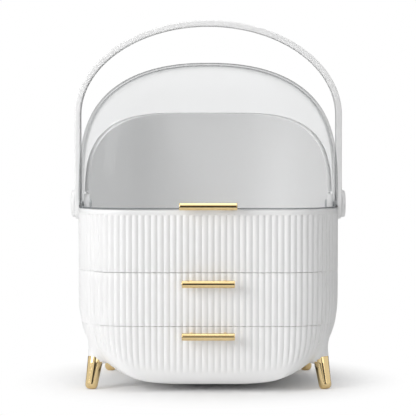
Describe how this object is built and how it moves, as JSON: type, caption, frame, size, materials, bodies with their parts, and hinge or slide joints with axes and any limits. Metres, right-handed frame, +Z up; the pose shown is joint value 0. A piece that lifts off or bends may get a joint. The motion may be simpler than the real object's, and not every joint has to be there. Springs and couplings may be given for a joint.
{
  "type": "makeup organizer",
  "caption": "Ribbed countertop organizer with a clear flip-up dome cover over an open bin, pull-out drawers with bar pulls, an arched carry handle and splayed legs.",
  "frame": {"origin": "on the resting surface, straight below the middle of the hinge axis that the cover and the handle share", "axes": "+X to the object's left-to-right as seen from the front, -Y out of the drawer fronts, +Z up"},
  "size_m": [0.2972, 0.2137, 0.3903],
  "materials": {
    "white_plastic": "satin moulded",
    "tray": "matt moulded",
    "clear_cover": "clear, polished",
    "gold_metal": "polished, pale gold plating",
    "steel": "zinc plated"
  },
  "bodies": {
    "body": {"lower_casing": "white_plastic", "upper_casing": "white_plastic", "top_bin": "white_plastic", "rear_hood": "white_plastic", "pivot_pin_left": "steel", "pivot_pin_right": "steel", "leg_tip_front_left": "gold_metal", "leg_tip_front_right": "gold_metal", "leg_tip_rear_left": "gold_metal", "leg_tip_rear_right": "gold_metal", "leg_studs": "steel", "tier_screws": "steel", "bin_screws": "steel", "hood_screws": "steel"},
    "cover": {"clear_cover": "clear_cover", "cover_pull": "gold_metal", "cover_pull_screws": "steel"},
    "handle": {"carry_handle": "white_plastic", "hub_cap_left": "white_plastic", "hub_cap_right": "white_plastic"},
    "upper_drawer": {"upper_drawer_front": "white_plastic", "upper_drawer_tray": "tray", "upper_drawer_pull": "gold_metal", "upper_pull_screws": "steel", "upper_front_screws": "steel"},
    "lower_drawer": {"lower_drawer_front": "white_plastic", "lower_drawer_tray": "tray", "lower_drawer_pull": "gold_metal", "lower_pull_screws": "steel", "lower_front_screws": "steel"}
  },
  "joints": [
    {"name": "cover_hinge", "type": "hinge", "parent": "body", "child": "cover", "pos_m": [0, 0, 0.192], "axis": [-1, 0, 0], "range_deg": [0, 70]},
    {"name": "handle_hinge", "type": "hinge", "parent": "body", "child": "handle", "pos_m": [0, 0, 0.192], "axis": [-1, 0, 0], "range_deg": [-90, 90]},
    {"name": "upper_drawer_slide", "type": "slide", "parent": "body", "child": "upper_drawer", "axis": [0, -1, 0], "range_m": [0, 0.11]},
    {"name": "lower_drawer_slide", "type": "slide", "parent": "body", "child": "lower_drawer", "axis": [0, -1, 0], "range_m": [0, 0.11]}
  ]
}
